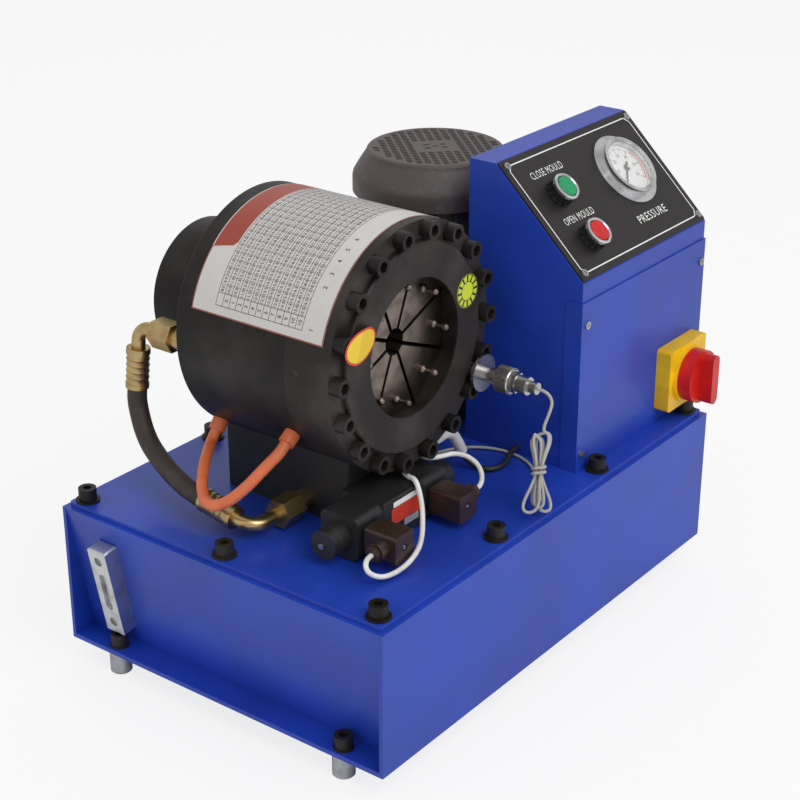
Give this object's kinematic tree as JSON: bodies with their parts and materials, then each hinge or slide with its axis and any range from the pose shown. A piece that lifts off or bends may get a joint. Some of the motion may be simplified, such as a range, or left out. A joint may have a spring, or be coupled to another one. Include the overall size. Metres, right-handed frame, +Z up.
{
  "type": "hose crimping machine",
  "caption": "Bench hydraulic hose crimper: oil tank base with crimping head, segmented dies, motor, valve and control cabinet.",
  "frame": {"origin": "centre of the four feet where they stand on the bench", "axes": "+X along the tank towards the control cabinet, +Y from the operator to the back, +Z up"},
  "size_m": [0.6183, 0.4208, 0.4864],
  "materials": {
    "blue_paint": "gloss",
    "black_oxide": "satin black oxide",
    "black_paint": "satin",
    "die_steel": "ground",
    "bright_steel": "turned",
    "zinc": "zinc plated",
    "brass": "yellow zinc plated",
    "aluminium": "milled",
    "rubber": "moulded",
    "orange_hose": "gloss",
    "black_plastic": "matte",
    "brown_plastic": "translucent",
    "white_plastic": "matte",
    "grey_plastic": "matte",
    "yellow_plastic": "gloss",
    "red_plastic": "gloss",
    "green_plastic": "gloss",
    "glass": "clear",
    "chrome": "polished"
  },
  "bodies": {
    "frame": {"head_saddle": "black_paint", "head_barrel": "black_oxide", "front_ring": "black_oxide", "ring_bolts": "black_oxide", "rear_cylinder": "black_oxide", "stop_rod": "bright_steel", "stop_sensor": "chrome", "tank_shell": "blue_paint", "tank_lid": "blue_paint", "tank_bolts": "black_oxide", "feet": "zinc", "level_gauge": "aluminium", "motor_housing": "black_paint", "fan_cowl": "black_paint", "pump_body": "aluminium", "valve_body": "black_paint", "valve_coils": "black_plastic", "coil_plugs": "brown_plastic", "pressure_hose": "rubber", "hose_fittings": "brass", "return_hose": "orange_hose", "control_cabinet": "blue_paint", "cabinet_cover": "blue_paint", "cabinet_screws": "zinc", "control_panel": "black_plastic", "gauge_case": "chrome", "gauge_glass": "glass", "button_bezels": "chrome", "switch_plate": "yellow_plastic", "sensor_cable": "grey_plastic", "sensor_cable_hank": "grey_plastic", "sensor_cable_tail": "grey_plastic", "solenoid_cable_left": "white_plastic", "solenoid_cable_right": "white_plastic", "cable_sleeve": "white_plastic", "lid_cable": "black_plastic"},
    "piston": {"piston": "bright_steel"},
    "motor_rotor": {"motor_rotor": "bright_steel"},
    "size_dial": {"size_dial": "bright_steel"},
    "valve_spool": {"valve_spool": "bright_steel"},
    "close_button": {"close_button": "green_plastic"},
    "open_button": {"open_button": "red_plastic"},
    "switch_knob": {"switch_knob": "red_plastic"},
    "gauge_needle": {"gauge_needle": "black_plastic"},
    "die_1": {"master_die_1": "die_steel", "die_insert_1": "die_steel"},
    "die_2": {"master_die_2": "die_steel", "die_insert_2": "die_steel"},
    "die_3": {"master_die_3": "die_steel", "die_insert_3": "die_steel"},
    "die_4": {"master_die_4": "die_steel", "die_insert_4": "die_steel"},
    "die_5": {"master_die_5": "die_steel", "die_insert_5": "die_steel"},
    "die_6": {"master_die_6": "die_steel", "die_insert_6": "die_steel"},
    "die_7": {"master_die_7": "die_steel", "die_insert_7": "die_steel"},
    "die_8": {"master_die_8": "die_steel", "die_insert_8": "die_steel"}
  },
  "joints": [
    {"name": "piston_slide", "type": "slide", "parent": "frame", "child": "piston", "axis": [0, -1, 0], "range_m": [-0.033, 0.0258]},
    {"name": "die_slide_1", "type": "slide", "parent": "frame", "child": "die_1", "axis": [-0.342, -0.9397, 0], "range_m": [-0.0176, 0.0138]},
    {"name": "die_slide_2", "type": "slide", "parent": "frame", "child": "die_2", "axis": [-0.2418, -0.9397, -0.2418], "range_m": [-0.0176, 0.0138]},
    {"name": "die_slide_3", "type": "slide", "parent": "frame", "child": "die_3", "axis": [0, -0.9397, -0.342], "range_m": [-0.0176, 0.0138]},
    {"name": "die_slide_4", "type": "slide", "parent": "frame", "child": "die_4", "axis": [0.2418, -0.9397, -0.2418], "range_m": [-0.0176, 0.0138]},
    {"name": "die_slide_5", "type": "slide", "parent": "frame", "child": "die_5", "axis": [0.342, -0.9397, 0], "range_m": [-0.0176, 0.0138]},
    {"name": "die_slide_6", "type": "slide", "parent": "frame", "child": "die_6", "axis": [0.2418, -0.9397, 0.2418], "range_m": [-0.0176, 0.0138]},
    {"name": "die_slide_7", "type": "slide", "parent": "frame", "child": "die_7", "axis": [0, -0.9397, 0.342], "range_m": [-0.0176, 0.0138]},
    {"name": "die_slide_8", "type": "slide", "parent": "frame", "child": "die_8", "axis": [-0.2418, -0.9397, 0.2418], "range_m": [-0.0176, 0.0138]},
    {"name": "close_button_press", "type": "slide", "parent": "frame", "child": "close_button", "axis": [0, 0.6935, -0.7204], "range_m": [0, 0.004], "stiffness_N_per_m": 400},
    {"name": "open_button_press", "type": "slide", "parent": "frame", "child": "open_button", "axis": [0, 0.6935, -0.7204], "range_m": [0, 0.004], "stiffness_N_per_m": 400},
    {"name": "switch_turn", "type": "hinge", "parent": "frame", "child": "switch_knob", "pos_m": [0.263, -0.21, 0.2285], "axis": [0, 1, 0], "range_deg": [0, 90]},
    {"name": "gauge_needle_turn", "type": "hinge", "parent": "frame", "child": "gauge_needle", "pos_m": [0.243, -0.11087, 0.4491], "axis": [0, 0.6935, -0.7204], "range_deg": [0, 270], "stiffness_Nm_per_rad": 0.0002},
    {"name": "motor_rotor_spin", "type": "hinge", "parent": "frame", "child": "motor_rotor", "pos_m": [0.148, 0.068, 0.3], "axis": [0, 0, 1], "continuous": true},
    {"name": "size_dial_turn", "type": "hinge", "parent": "frame", "child": "size_dial", "pos_m": [-0.00071, -0.13, 0.29725], "axis": [0, -1, 0], "range_deg": [-360, 360]},
    {"name": "valve_spool_shift", "type": "slide", "parent": "frame", "child": "valve_spool", "axis": [1, 0, 0], "range_m": [-0.003, 0.003], "stiffness_N_per_m": 2000}
  ],
  "couplings": [
    {"joint": "die_slide_1", "follows": "piston_slide", "ratio": 0.53209},
    {"joint": "die_slide_2", "follows": "piston_slide", "ratio": 0.53209},
    {"joint": "die_slide_3", "follows": "piston_slide", "ratio": 0.53209},
    {"joint": "die_slide_4", "follows": "piston_slide", "ratio": 0.53209},
    {"joint": "die_slide_5", "follows": "piston_slide", "ratio": 0.53209},
    {"joint": "die_slide_6", "follows": "piston_slide", "ratio": 0.53209},
    {"joint": "die_slide_7", "follows": "piston_slide", "ratio": 0.53209},
    {"joint": "die_slide_8", "follows": "piston_slide", "ratio": 0.53209}
  ]
}
